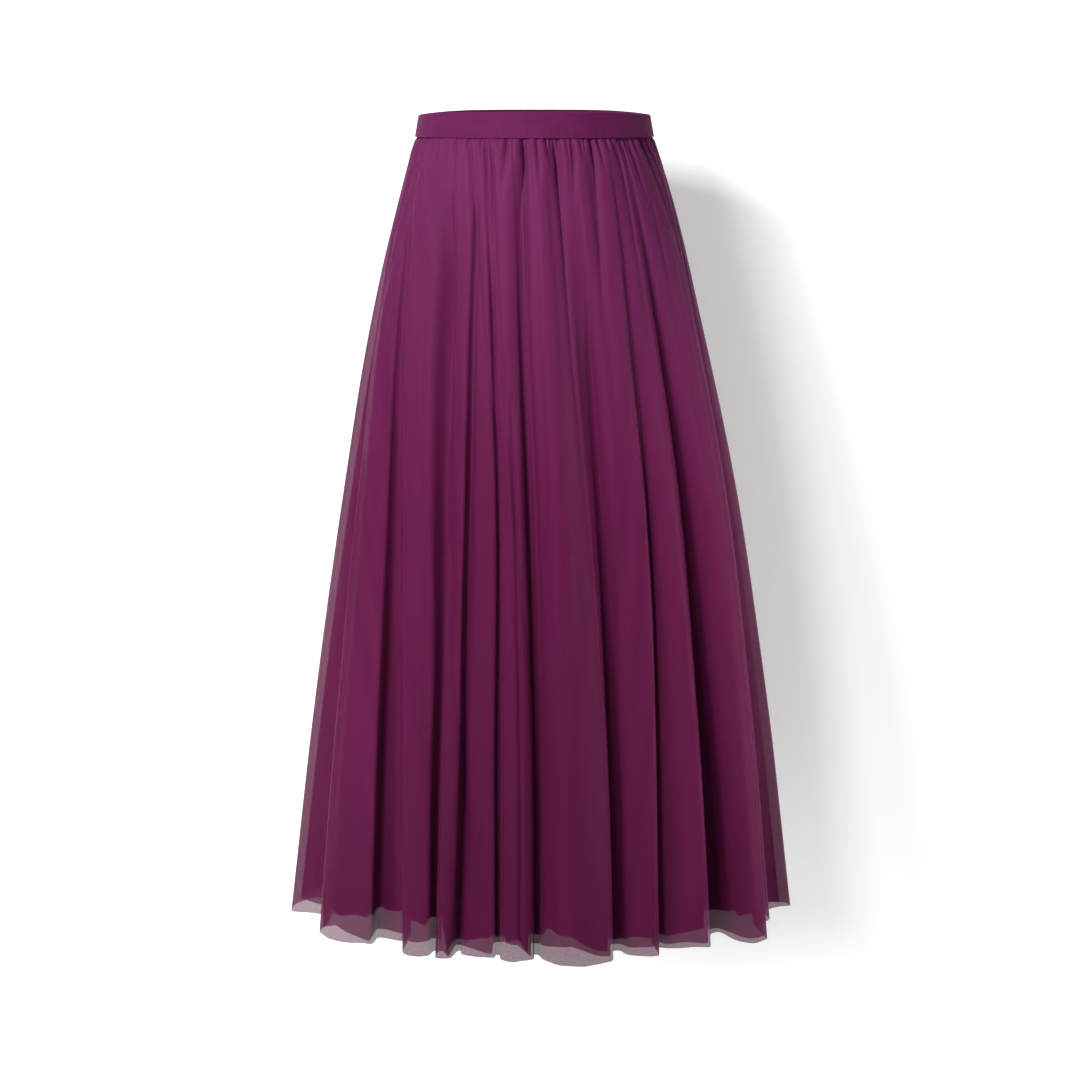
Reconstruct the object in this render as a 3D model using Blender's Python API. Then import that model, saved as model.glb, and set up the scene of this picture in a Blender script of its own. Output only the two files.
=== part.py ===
"""Gathered tulle midi skirt: an elastic waistband, two net skirts and a lining.

The skirt hangs filled out, as on a wearer, and is open at the waist and the hem.
Units are metres, +Z is up and the front of the skirt faces -Y. The origin is the
middle of the waistband. Sizes and tables are in millimetres and degrees.

Every cloth wall follows one form. Its plan is an ellipse that widens from the
waist to the hem (SECTIONS), thrown into folds that start smooth at the waistband
and deepen towards the hem (FOLDS). The inner layers are the same form, moved in.
"""

import math
from collections import namedtuple

import bmesh
import bpy
from mathutils import Vector

MM = 0.001

# The waistband: a wide covered elastic that widens a little downwards.
BAND_HEIGHT = 25.0
BAND_THICKNESS = 3.6
BAND_TAPER = 3.8          # how much narrower each side is at the top than at the bottom
BAND_EDGE = 2.6           # height of the rounded upper edge
BAND_EDGE_INSET = 0.9
BAND_FRONT_RISE = 1.0     # the upper edge stands a little higher in front and behind
BAND_BACK_RISE = 2.5
BAND_SIDE_DIP = 2.0
BAND_COLUMNS = 48

# The cloth walls.
WALL = 1.0
GAP = 0.3
SKIRT_LENGTH = 825.0      # from the waistband's lower edge to the hem of the outer net
DEPTH_RATIO = 0.72        # front-to-back depth over width, the same from waist to hem
INNER_NET_SHORTER = 10.0
LINING_SHORTER = 22.0
LINING_EASE = 2.0         # how much further in the lining's crests lie at the hem

# Width of the skirt at heights below the waistband. Sway is how far the middle of
# the section lies to +X: the cloth swings out further on that side.
Section = namedtuple("Section", "drop half_width sway")
SECTIONS = (
    Section(0.0, 123.2, 0.0),
    Section(70.0, 145.0, 1.5),
    Section(190.0, 174.0, 2.5),
    Section(370.0, 209.5, 7.0),
    Section(590.0, 243.0, 8.0),
    Section(825.0, 272.0, 8.0),
)

# One row per fold, in order from the left side round the front and the back.
# waist_from, waist_to: the fold's two edges at the waistband, degrees from centre front
# left, crest, right:   its edges and its highest line at the hem, degrees
# *_out:                how far each stands out from the ellipse at the hem, mm
# tuck, bed, floor_out: the two bottom corners of the valley after it, and their depth
# lining_out:           the furthest out that the lining goes in this fold, mm
Fold = namedtuple(
    "Fold",
    "name waist_from waist_to left left_out crest crest_out right right_out"
    " tuck bed floor_out lining_out",
)
FREE = 99.0               # the lining fills the fold
FOLDS = (
    Fold("left_side", -108, -88, -106.0, -12, -96.0, 0, -88.5, -1, -83.0, -72.0, -36, -8),
    Fold("left_hip", -84, -71, -64.0, -10, -55.0, -4, -43.0, -17, -48.5, -38.5, -46, FREE),
    Fold("left_front", -68, -49, -33.8, -14, -30.5, -6, -25.8, -11, -26.6, -25.6, -34, FREE),
    Fold("left_narrow", -38, -27, -24.8, -10, -22.5, -8, -20.6, -12, -20.9, -20.1, -40, FREE),
    Fold("left_panel", -25, -22, -19.6, -28, -15.0, -23, -10.6, -19, -11.0, -10.2, -34, FREE),
    Fold("centre_left", -20, -14, -9.6, -17, -5.4, -8, -1.6, -19, -2.3, -1.0, -38, FREE),
    Fold("centre", -8, 6, -0.2, -22, 5.6, 13, 16.8, -9, 18.2, 19.3, -45, FREE),
    Fold("right_narrow", 20, 36, 20.5, -27, 23.6, -17, 27.6, -12, 28.6, 29.9, -42, FREE),
    Fold("right_panel", 39, 47, 30.9, -34, 37.0, -24, 42.4, -15, 52.0, 54.0, -60, FREE),
    Fold("right_front", 57, 73, 51.2, -14, 53.0, 5, 57.5, 8, 64.0, 69.0, -30, FREE),
    Fold("right_hip", 76, 81, 72.0, -26, 76.0, -23, 81.0, -26, 85.0, 89.0, -37, FREE),
    Fold("right_side", 85, 100, 91.8, -23, 93.5, 0, 99.0, -3, 103.0, 106.0, -34, -32),
    Fold("back_1", 108, 125, 110.0, -12, 117.0, 4, 126.0, -8, 127.0, 133.0, -48, FREE),
    Fold("back_2", 132, 146, 136.0, -16, 141.0, -4, 147.0, -13, 148.0, 151.0, -36, FREE),
    Fold("back_3", 152, 169, 154.0, -15, 161.0, 8, 171.0, -9, 171.0, 177.0, -54, FREE),
    Fold("back_4", 177, 194, 180.0, -18, 188.0, 3, 195.0, -12, 196.0, 199.0, -38, FREE),
    Fold("back_5", 200, 211, 202.0, -20, 207.0, -8, 213.0, -16, 213.0, 219.0, -50, FREE),
    Fold("back_6", 219, 240, 222.0, -12, 231.0, 8, 241.0, -8, 242.0, 249.0, -42, FREE),
)
RIGHT_SIDE_FOLD = 11      # its row number: the right seam runs in this fold

FOLD_START = 0.02         # share of the length below the waistband that stays smooth
FOLD_POWER = 1.12         # how quickly the folds deepen towards the hem
SLIT = 0.2                # degrees that a leaning valley keeps to its fold where it is shallow
ROUND_REACH = 7.0         # how far from a fold's corner its rounding starts
ROUND_SHARE = 0.4         # and never further than this share of the way to the next corner
EDGE_STEPS = (0.15, 0.85)  # points along the rounding of a fold's edge
SOFT_STEPS = (0.5,)       # and of any other corner
COLUMNS_PER_FOLD = 7      # two edges of two points, a crest and two floor corners
SEAM_COLUMN = 2           # the seams run just after the crest of each side fold
MITRE_LIMIT = 0.4         # the smallest cosine a mitred corner is worked out with

PLUM = (0.105, 0.011, 0.065)


def fold_growth(share):
    """Depth of the folds at a share of the skirt's length, as a part of that at the hem."""
    return max(0.0, (share - FOLD_START) / (1.0 - FOLD_START)) ** FOLD_POWER


def on_ellipse(section, angle, out):
    """The plan point at an angle from centre front, moved out from the section's ellipse."""
    wide = section.half_width
    deep = wide * DEPTH_RATIO
    sine, cosine = math.sin(math.radians(angle)), math.cos(math.radians(angle))
    normal = Vector((sine / wide, -cosine / deep)).normalized()
    return Vector((section.sway + wide * sine, -deep * cosine)) + out * normal


def fold_corners(section, for_lining):
    """The plan's corners at a section, five to a fold, each with its kind."""
    share = section.drop / SKIRT_LENGTH
    growth = fold_growth(share)
    hem_weight = SECTIONS[-1].half_width * share
    waist_weight = SECTIONS[0].half_width * (1.0 - share)
    corners = []
    for index, fold in enumerate(FOLDS):
        after = FOLDS[(index + 1) % len(FOLDS)]
        turn = 360.0 if index + 1 == len(FOLDS) else 0.0
        waist_gap = after.waist_from + turn - fold.waist_to
        rows = (
            ("edge", fold.waist_from, fold.left, fold.left_out),
            ("crest", (fold.waist_from + fold.waist_to) / 2.0, fold.crest, fold.crest_out),
            ("edge", fold.waist_to, fold.right, fold.right_out),
            ("floor", fold.waist_to + waist_gap / 3.0, fold.tuck, fold.floor_out),
            ("floor", fold.waist_to + waist_gap * 2.0 / 3.0, fold.bed, fold.floor_out),
        )
        for kind, waist_angle, hem_angle, hem_out in rows:
            upright = hem_angle
            if kind == "floor":
                upright = min(max(hem_angle, fold.right + SLIT), after.left + turn - SLIT)
            lean = (hem_angle - upright) * share**2
            angle = (waist_weight * waist_angle + hem_weight * upright) / (waist_weight + hem_weight)
            out = min(hem_out, fold.lining_out) if for_lining else hem_out
            corners.append((on_ellipse(section, angle + lean, out * growth), kind))
    return corners


def rounded(corners):
    """The closed plan through the corners: two points at an edge, one at any other."""
    points = []
    for index, (corner, kind) in enumerate(corners):
        before = corners[index - 1][0] - corner
        after = corners[(index + 1) % len(corners)][0] - corner
        start = corner + before * min(ROUND_REACH / before.length, ROUND_SHARE)
        end = corner + after * min(ROUND_REACH / after.length, ROUND_SHARE)
        for step in EDGE_STEPS if kind == "edge" else SOFT_STEPS:
            points.append(
                start * (1.0 - step) ** 2 + corner * 2.0 * step * (1.0 - step) + end * step**2
            )
    return points


def moved_in(points, distance):
    """The closed plan moved in by a distance, each side staying parallel to itself."""
    result = []
    for index, point in enumerate(points):
        before = (point - points[index - 1]).normalized()
        after = (points[(index + 1) % len(points)] - point).normalized()
        normal = Vector((-before.y - after.y, before.x + after.x)).normalized()
        half_turn = max(normal.dot(Vector((-before.y, before.x))), MITRE_LIMIT)
        result.append(point + normal * distance / half_turn)
    return result


def split_at_seams(ring):
    """The closed ring as the front panel's and the back panel's points, seam to seam."""
    right_seam = RIGHT_SIDE_FOLD * COLUMNS_PER_FOLD + SEAM_COLUMN
    middle_left = (ring[SEAM_COLUMN] + ring[SEAM_COLUMN + 1]) / 2.0
    middle_right = (ring[right_seam] + ring[right_seam + 1]) / 2.0
    left_step = (ring[SEAM_COLUMN + 1] - ring[SEAM_COLUMN]).normalized() * GAP / 2.0
    right_step = (ring[right_seam + 1] - ring[right_seam]).normalized() * GAP / 2.0
    front = [middle_left + left_step, *ring[SEAM_COLUMN + 1:right_seam + 1], middle_right - right_step]
    back = [middle_right + right_step, *ring[right_seam + 1:], *ring[:SEAM_COLUMN + 1]]
    return {"front": front, "back": back + [middle_left - left_step]}


def section_rings(depth, ease, for_lining):
    """The plan ring at every section, moved in to a depth below the form."""
    rings = []
    for section in SECTIONS:
        growth = fold_growth(section.drop / SKIRT_LENGTH)
        ring = rounded(fold_corners(section, for_lining))
        rings.append(moved_in(ring, depth + ease * growth))
    return rings


def cut_to_length(rings, length):
    """Rows of (height, ring) from just below the waistband to a length, on the same form."""
    rows = []
    for upper, lower, ring, ring_below in zip(SECTIONS, SECTIONS[1:], rings, rings[1:]):
        top = max(upper.drop, GAP)
        share = (top - upper.drop) / (lower.drop - upper.drop)
        rows.append((top, [a.lerp(b, share) for a, b in zip(ring, ring_below)]))
    last = SECTIONS[-2]
    share = (length - last.drop) / (SECTIONS[-1].drop - last.drop)
    rows.append((length, [a.lerp(b, share) for a, b in zip(rings[-2], rings[-1])]))
    return rows


def add_object(name, mesh_data, material):
    """Link a new object with flat-shaded faces for the given bmesh."""
    mesh = bpy.data.meshes.new(name)
    mesh_data.to_mesh(mesh)
    mesh_data.free()
    mesh.materials.append(material)
    bpy.context.collection.objects.link(bpy.data.objects.new(name, mesh))


def fabric_material(name, colour, roughness):
    """A plain cloth material."""
    material = bpy.data.materials.new(name)
    material.use_nodes = True
    shader = material.node_tree.nodes["Principled BSDF"]
    shader.inputs["Base Color"].default_value = (*colour, 1.0)
    shader.inputs["Roughness"].default_value = roughness
    shader.inputs["Metallic"].default_value = 0.0
    return material


def panel_solid(outer_rows, inner_rows):
    """A closed wall between two grids of rows, each row (height below the band, points)."""
    mesh = bmesh.new()
    grids = []
    for rows in (outer_rows, inner_rows):
        grid = []
        for drop, points in rows:
            height = -BAND_HEIGHT / 2.0 - drop
            grid.append([mesh.verts.new((p.x * MM, p.y * MM, height * MM)) for p in points])
        grids.append(grid)
    outer, inner = grids
    rows, columns = len(outer), len(outer[0])

    def quad(a, b, c, d):
        """Two triangles that share the edge from a to c."""
        mesh.faces.new((a, b, c))
        mesh.faces.new((a, c, d))

    for row in range(rows - 1):
        for column in range(columns - 1):
            top, low = outer[row], outer[row + 1]
            quad(top[column], low[column], low[column + 1], top[column + 1])
            top, low = inner[row], inner[row + 1]
            mesh.faces.new((top[column], low[column + 1], low[column]))
            mesh.faces.new((top[column], top[column + 1], low[column + 1]))
        for column, facing in ((0, False), (columns - 1, True)):
            a, b = outer[row][column], outer[row + 1][column]
            c, d = inner[row + 1][column], inner[row][column]
            quad(*((a, b, c, d) if facing else (d, c, b, a)))
    for column in range(columns - 1):
        quad(outer[0][column], outer[0][column + 1], inner[0][column + 1], inner[0][column])
        quad(outer[-1][column], inner[-1][column], inner[-1][column + 1], outer[-1][column + 1])
    return mesh


def add_skirt_layer(name, depth, length, ease, for_lining, material):
    """One layer of the skirt as a front and a back panel, a seam's gap apart."""
    faces = []
    for face_depth in (depth, depth + WALL):
        rows = cut_to_length(section_rings(face_depth, ease, for_lining), length)
        faces.append([(drop, split_at_seams(ring)) for drop, ring in rows])
    for side in ("front", "back"):
        outer, inner = ([(drop, panels[side]) for drop, panels in face] for face in faces)
        add_object(f"{name}_{side}", panel_solid(outer, inner), material)


def add_waistband(material):
    """The covered elastic as one ring with a rounded upper edge."""
    mesh = bmesh.new()
    half = BAND_HEIGHT / 2.0
    # Height above the middle, and how far in from the band's outer face.
    profile = (
        (-half, 0.0),
        (half - BAND_EDGE, 0.0),
        (half, BAND_EDGE_INSET),
        (half, BAND_THICKNESS - BAND_EDGE_INSET),
        (half - BAND_EDGE, BAND_THICKNESS),
        (-half, BAND_THICKNESS),
    )
    loops = []
    for height, inset in profile:
        share = (height + half) / BAND_HEIGHT
        section = Section(0.0, SECTIONS[0].half_width - BAND_TAPER * share, 0.0)
        loop = []
        for column in range(BAND_COLUMNS):
            angle = 360.0 * column / BAND_COLUMNS
            point = on_ellipse(section, angle, -inset)
            facing = math.cos(math.radians(angle))
            crown = BAND_FRONT_RISE if facing > 0.0 else BAND_BACK_RISE
            rise = crown * facing**2 - BAND_SIDE_DIP * (1.0 - facing**2)
            top = height + rise * max(0.0, share) ** 2
            loop.append(mesh.verts.new((point.x * MM, point.y * MM, top * MM)))
        loops.append(loop)
    for index, loop in enumerate(loops):
        after = loops[(index + 1) % len(loops)]
        for column in range(BAND_COLUMNS):
            beside = (column + 1) % BAND_COLUMNS
            mesh.faces.new((loop[column], loop[beside], after[beside], after[column]))
    bmesh.ops.triangulate(mesh, faces=mesh.faces[:])
    add_object("waistband", mesh, material)


def main():
    """Build every piece of the skirt."""
    for old in list(bpy.data.objects):
        bpy.data.objects.remove(old, do_unlink=True)
    knit = fabric_material("waistband_knit", PLUM, 0.75)
    net = fabric_material("tulle_net", PLUM, 0.9)
    lining = fabric_material("lining_cloth", PLUM, 0.6)
    layer = WALL + GAP
    add_waistband(knit)
    add_skirt_layer("outer_tulle", 0.0, SKIRT_LENGTH, 0.0, False, net)
    add_skirt_layer("inner_tulle", layer, SKIRT_LENGTH - INNER_NET_SHORTER, 0.0, False, net)
    add_skirt_layer("lining", 2.0 * layer, SKIRT_LENGTH - LINING_SHORTER, LINING_EASE, True, lining)


main()
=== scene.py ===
"""Looks of a gathered tulle midi skirt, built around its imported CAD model.

Two sheer net skirts hang over a shorter, opaque lining from a covered elastic
waistband. The skirt hangs filled out, as on a wearer, in soft uneven folds that
start as small gathers under the waistband and deepen towards the hem.

Sizes and tables are in millimetres and degrees. Meshes are in metres, with +Z up
and the front of the skirt facing -Y. Angles run from the centre front, positive
towards +X. A drop is a distance below the waistband's lower edge.
"""

import logging
import math
from dataclasses import dataclass, field
from enum import Enum

import bmesh
import bpy
import numpy as np
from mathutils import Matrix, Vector

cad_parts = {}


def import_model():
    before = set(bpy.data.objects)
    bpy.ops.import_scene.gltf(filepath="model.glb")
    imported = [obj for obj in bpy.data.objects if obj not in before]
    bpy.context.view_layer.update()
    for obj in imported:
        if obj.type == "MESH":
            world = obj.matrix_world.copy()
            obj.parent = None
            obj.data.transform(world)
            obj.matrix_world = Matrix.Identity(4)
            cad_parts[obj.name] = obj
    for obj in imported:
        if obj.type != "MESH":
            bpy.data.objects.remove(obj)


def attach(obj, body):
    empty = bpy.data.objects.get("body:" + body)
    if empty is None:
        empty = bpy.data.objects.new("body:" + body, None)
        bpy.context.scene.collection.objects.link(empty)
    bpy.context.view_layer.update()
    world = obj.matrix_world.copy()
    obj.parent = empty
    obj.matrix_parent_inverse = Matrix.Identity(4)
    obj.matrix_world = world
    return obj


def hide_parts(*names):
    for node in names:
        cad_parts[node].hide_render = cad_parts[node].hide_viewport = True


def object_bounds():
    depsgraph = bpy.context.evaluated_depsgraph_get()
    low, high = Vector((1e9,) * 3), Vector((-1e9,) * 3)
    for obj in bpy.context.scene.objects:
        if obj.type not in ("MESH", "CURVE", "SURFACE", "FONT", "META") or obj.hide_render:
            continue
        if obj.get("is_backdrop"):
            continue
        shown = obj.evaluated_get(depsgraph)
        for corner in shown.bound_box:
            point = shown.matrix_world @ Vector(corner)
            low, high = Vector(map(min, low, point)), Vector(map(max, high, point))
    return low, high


log = logging.getLogger("tulle_skirt")

MM = 0.001
CLOTH_UV = "cloth"        # each cloth's own map: metres across it and metres down it

# The waistband and the cloth walls, as the CAD model has them.
BAND_HEIGHT = 25.0
BAND_THICKNESS = 3.6
BAND_TAPER = 3.8          # how much narrower each half is at the waistband's top
BAND_EDGE = 2.6           # how high its rolled upper edge is
BAND_FRONT_RISE = 1.0     # how far its top stands up at the front
BAND_BACK_RISE = 2.5      # and at the back
BAND_SIDE_DIP = 2.0       # and how far it falls at the two sides
SKIRT_LENGTH = 825.0
DEPTH_RATIO = 0.72
WALL = 1.0
GAP = 0.3                 # kept between layers, under the waistband and at the side seams
INNER_NET_SHORTER = 10.0
LINING_SHORTER = 22.0
FOLD_START = 0.02
FOLD_POWER = 0.82         # the solids have 1.12; cloth this fine folds deeper near the waist
TUCKED_UP = 2.5           # the cloth's raw top edge is stitched up inside the waistband
VALLEY_FLOOR = (0.42, 0.82)   # where its two corners lie between two folds, at the waist
SLIT = 0.2                # degrees kept between a valley's floor and the folds beside it
MITRE_LIMIT = 0.4         # a corner moves in by no more than the depth divided by this


@dataclass(frozen=True)
class Section:
    """Width of the skirt at one height, and how far its middle lies to +X."""

    drop: float
    half_width: float
    sway: float


@dataclass(frozen=True)
class Fold:
    """One fold of the skirt and the valley after it, as the CAD model has them.

    The two waist angles are the fold's edges at the waistband. The others are at
    the hem: its left edge, crest and right edge, then the valley's two floor
    corners. Each *_out is how far a line stands out from the plan's ellipse.
    """

    name: str
    waist_from: float
    waist_to: float
    left: float
    left_out: float
    crest: float
    crest_out: float
    right: float
    right_out: float
    tuck: float
    bed: float
    floor_out: float
    lining_out: float


@dataclass(frozen=True)
class HemLift:
    """How much shorter the hidden layers hang in one fold than their own length.

    Net is the inner net, at the fold's left edge, crest and right edge. Lining is
    the same for the lining. Teeth is the height of the lining edge's little frills.
    """

    net_left: float
    net_crest: float
    net_right: float
    lining_left: float
    lining_crest: float
    lining_right: float
    teeth: float


@dataclass(frozen=True)
class Crease:
    """A soft ridge, or a trough where its height is negative, laid in a fold.

    At_top and at_hem say where it runs: 0 is the fold's left edge and 1 its right.
    """

    fold: str
    at_top: float
    at_hem: float
    start_drop: float
    end_drop: float
    height: float
    width: float


SECTIONS = (
    Section(0.0, 123.2, 0.0),
    Section(70.0, 145.0, 1.5),
    Section(190.0, 174.0, 2.5),
    Section(370.0, 209.5, 7.0),
    Section(590.0, 243.0, 8.0),
    Section(825.0, 272.0, 8.0),
)

FREE = 99.0               # the lining fills the fold

# From the left side over the front to the right side, then on over the back.
FOLDS = (
    Fold("left_side", -108, -88, -106.0, -12, -96.0, 0, -88.5, -1, -83.0, -72.0, -36, -8),
    Fold("left_hip", -84, -71, -64.0, -10, -55.0, -4, -43.0, -17, -47.0, -36.0, -46, FREE),
    Fold("left_front", -68, -49, -33.8, -14, -30.5, -6, -25.8, -11, -26.6, -25.6, -34, FREE),
    Fold("left_narrow", -38, -28.6, -24.8, -10, -22.5, -8, -20.6, -12, -20.9, -20.1, -40, FREE),
    Fold("left_panel", -24.6, -22, -19.6, -28, -15.0, -23, -10.6, -19, -11.0, -10.2, -34, FREE),
    Fold("centre_left", -18.5, -11.5, -9.6, -17, -5.4, -8, -1.6, -19, -2.3, -1.0, -38, FREE),
    Fold("centre", -7, 8, -0.2, -22, 5.6, 13, 16.0, -9, 17.6, 19.4, -42, FREE),
    Fold("right_narrow", 19, 35, 19.8, -27, 23.2, -17, 27.4, -12, 28.6, 30.0, -40, FREE),
    Fold("right_panel", 37, 42.5, 30.9, -34, 37.0, -24, 42.2, -15, 50.0, 54.0, -50, FREE),
    Fold("right_front", 47, 73, 51.2, -14, 53.0, 5, 57.5, 8, 67.5, 70.0, -30, FREE),
    Fold("right_hip", 76, 81, 72.0, -26, 76.0, -23, 81.0, -26, 85.0, 89.0, -37, FREE),
    Fold("right_side", 85, 100, 91.8, -23, 93.5, 0, 99.0, -3, 103.0, 106.0, -34, -32),
    Fold("back_1", 108, 125, 110.0, -12, 117.0, 4, 126.0, -8, 127.0, 133.0, -48, FREE),
    Fold("back_2", 132, 146, 136.0, -16, 141.0, -4, 147.0, -13, 148.0, 151.0, -36, FREE),
    Fold("back_3", 152, 169, 154.0, -15, 161.0, 8, 171.0, -9, 171.0, 177.0, -54, FREE),
    Fold("back_4", 177, 194, 180.0, -18, 188.0, 3, 195.0, -12, 196.0, 199.0, -38, FREE),
    Fold("back_5", 200, 211, 202.0, -20, 207.0, -8, 213.0, -16, 213.0, 219.0, -50, FREE),
    Fold("back_6", 219, 240, 222.0, -12, 231.0, 8, 241.0, -8, 242.0, 249.0, -42, FREE),
)
LEFT_SEAM_FOLD = "left_side"
RIGHT_SEAM_FOLD = "right_side"

HEM_LIFTS = {
    "left_side": HemLift(3, 4, 3, -2, 1, 4, 1),
    "left_hip": HemLift(-6, 5, -7, 11, 3, 4, 3),
    "left_front": HemLift(3, 4, 6, 8, 13, 8, 2),
    "left_narrow": HemLift(-4, -2, -8, 16, 4, -18, 1),
    "left_panel": HemLift(-2, -4, -5, -7, -4, -5, 1),
    "centre_left": HemLift(8, 8, -6, -4, 0, -16, 1),
    "centre": HemLift(5, 9, -6, 10, 6, -16, 3),
    "right_narrow": HemLift(-2, -2, -2, -6, -6, -6, 1),
    "right_panel": HemLift(-6, -6, -6, -12, -8, -2, 1),
    "right_front": HemLift(-6, -5, -5, 4, 8, 10, 4),
    "right_hip": HemLift(-5, -3, -5, 5, 2, 0, 1),
    "right_side": HemLift(-6, -7, -7, -10, -8, -6, 1),
    "back_1": HemLift(-3, 4, -2, 2, -6, 5, 2),
    "back_2": HemLift(4, -4, 3, 9, 3, -5, 1),
    "back_3": HemLift(-4, 5, -6, -8, 8, 2, 4),
    "back_4": HemLift(3, -3, 5, 5, -7, -3, 1),
    "back_5": HemLift(-5, 2, -3, 8, 10, 1, 3),
    "back_6": HemLift(2, 6, -4, -6, 4, 9, 2),
}

CREASES = (
    Crease("left_side", 0.30, 0.35, 40, 760, 1.6, 7),
    Crease("left_side", 0.72, 0.70, 0, 620, -1.4, 5),
    Crease("left_hip", 0.50, 0.42, 120, 700, 1.8, 8),
    Crease("left_hip", 0.80, 0.74, 10, 825, -1.2, 7),
    Crease("left_hip", 0.20, 0.14, 300, 825, 1.2, 6),
    Crease("left_front", 0.30, 0.35, 0, 420, -1.3, 6),
    Crease("left_front", 0.66, 0.70, 30, 700, 1.2, 5),
    Crease("left_narrow", 0.45, 0.50, 0, 500, -1.0, 4),
    Crease("left_panel", 0.55, 0.50, 250, 825, -0.9, 7),
    Crease("left_panel", 0.80, 0.78, 380, 825, 0.8, 5),
    Crease("centre_left", 0.05, 0.95, 250, 430, 1.3, 5),
    Crease("centre_left", 0.64, 0.60, 240, 825, -3.0, 4),
    Crease("centre", 0.25, 0.20, 0, 360, -1.6, 7),
    Crease("centre", 0.75, 0.68, 20, 560, -1.5, 6),
    Crease("centre", 0.40, 0.32, 300, 825, 1.2, 9),
    Crease("centre", 0.60, 0.80, 460, 825, 0.9, 8),
    Crease("right_narrow", 0.35, 0.50, 0, 480, -1.5, 7),
    Crease("right_narrow", 0.72, 0.74, 140, 825, 1.0, 6),
    Crease("right_panel", 0.40, 0.45, 60, 825, 1.1, 7),
    Crease("right_front", 0.35, 0.30, 30, 330, -1.6, 5),
    Crease("right_front", 0.65, 0.62, 80, 825, 1.2, 6),
    Crease("right_side", 0.45, 0.50, 0, 520, -1.2, 5),
    Crease("back_1", 0.30, 0.34, 20, 640, -1.5, 8),
    Crease("back_1", 0.68, 0.62, 200, 825, 1.2, 9),
    Crease("back_2", 0.50, 0.44, 0, 460, 1.3, 6),
    Crease("back_3", 0.25, 0.30, 40, 825, 1.1, 8),
    Crease("back_3", 0.62, 0.70, 0, 540, -1.7, 7),
    Crease("back_4", 0.36, 0.30, 260, 825, -1.2, 7),
    Crease("back_4", 0.74, 0.80, 10, 500, 1.4, 6),
    Crease("back_5", 0.50, 0.56, 90, 825, 1.0, 6),
    Crease("back_6", 0.32, 0.28, 0, 700, -1.5, 8),
    Crease("back_6", 0.70, 0.66, 160, 825, 1.3, 9),
)


@dataclass(frozen=True)
class Gather:
    """A soft trough that starts at the waistband and runs out lower down.

    Top and low are its angles at the band and where it runs out. Before and after
    are its half widths towards -X and towards +X, seen from the front. Begin is the
    drop where it opens, if that is not at the band.
    """

    top: float
    low: float
    end_drop: float
    depth: float
    before: float
    after: float
    begin: float = 0.0


# In the same order, the front's first.
GATHERS = (
    Gather(-68.0, -84.0, 240, 4.5, 5.0, 3.2),
    Gather(-61.0, -76.0, 220, 4.5, 5.0, 3.2),
    Gather(-52.5, -51.5, 40, 2.0, 4.5, 2.5),
    Gather(-43.0, -19.5, 720, 28.0, 27.0, 15.0, 50.0),
    Gather(-40.0, -38.0, 60, 2.5, 4.0, 2.4),
    Gather(-33.0, -9.0, 400, 5.0, 7.0, 4.5),
    Gather(-28.5, -27.0, 50, 2.5, 4.0, 2.4),
    Gather(-24.5, -4.0, 600, 4.0, 3.4, 2.2),
    Gather(-21.5, -1.5, 600, 3.5, 3.4, 2.2),
    Gather(-12.5, -15.5, 75, 4.0, 5.0, 2.6),
    Gather(-5.5, 2.0, 825, 8.5, 8.0, 3.6),
    Gather(-3.5, -7.0, 90, 4.5, 4.0, 2.2),
    Gather(2.0, 1.5, 60, 3.0, 5.0, 3.0),
    Gather(9.0, 16.5, 825, 9.5, 9.0, 6.0),
    Gather(11.5, 9.5, 50, 4.0, 4.0, 2.4),
    Gather(20.5, 19.8, 760, 12.0, 24.0, 6.0, 110.0),
    Gather(19.0, 16.0, 65, 5.0, 5.0, 2.6),
    Gather(28.5, 24.0, 200, 6.0, 7.0, 3.5),
    Gather(41.5, 44.5, 600, 3.5, 4.5, 2.2),
    Gather(49.0, 55.0, 90, 3.0, 4.5, 2.4),
    Gather(61.0, 73.0, 170, 4.0, 5.0, 3.2),
    Gather(68.0, 80.0, 220, 4.0, 5.0, 3.2),
    Gather(80.5, 81.5, 90, 2.5, 4.5, 2.4),
    Gather(93.5, 94.5, 70, 2.5, 4.5, 3.0),
    Gather(106.0, 110.5, 320, 7.5, 6.0, 4.0),
    Gather(113.5, 113.5, 70, 3.5, 4.5, 2.6),
    Gather(119.5, 121.5, 150, 4.0, 5.0, 3.0),
    Gather(130.5, 133.0, 600, 11.0, 7.5, 5.0),
    Gather(137.5, 136.5, 80, 4.0, 4.5, 2.6),
    Gather(142.5, 144.5, 130, 4.0, 5.0, 3.0),
    Gather(152.0, 152.5, 700, 11.0, 8.5, 5.0),
    Gather(158.5, 157.5, 60, 4.0, 4.5, 2.6),
    Gather(164.0, 166.5, 200, 4.5, 6.0, 3.0),
    Gather(176.0, 180.5, 800, 12.0, 8.5, 4.5),
    Gather(183.5, 182.5, 70, 4.0, 4.5, 2.6),
    Gather(189.5, 191.5, 110, 4.0, 4.5, 3.0),
    Gather(199.5, 203.0, 640, 10.5, 7.5, 4.5),
    Gather(206.0, 205.0, 90, 3.5, 4.0, 2.6),
    Gather(218.0, 222.5, 740, 11.0, 8.5, 5.0),
    Gather(224.0, 224.0, 70, 3.5, 4.0, 2.6),
    Gather(232.5, 234.5, 150, 4.0, 5.0, 3.0),
    Gather(247.5, 253.5, 560, 9.0, 7.5, 5.0),
    Gather(259.5, 259.5, 90, 3.0, 4.5, 3.0),
    Gather(273.5, 271.5, 120, 3.0, 5.0, 3.0),
)


class Side(Enum):
    """The two panels that each layer is sewn from."""

    FRONT = "front"
    BACK = "back"


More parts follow.
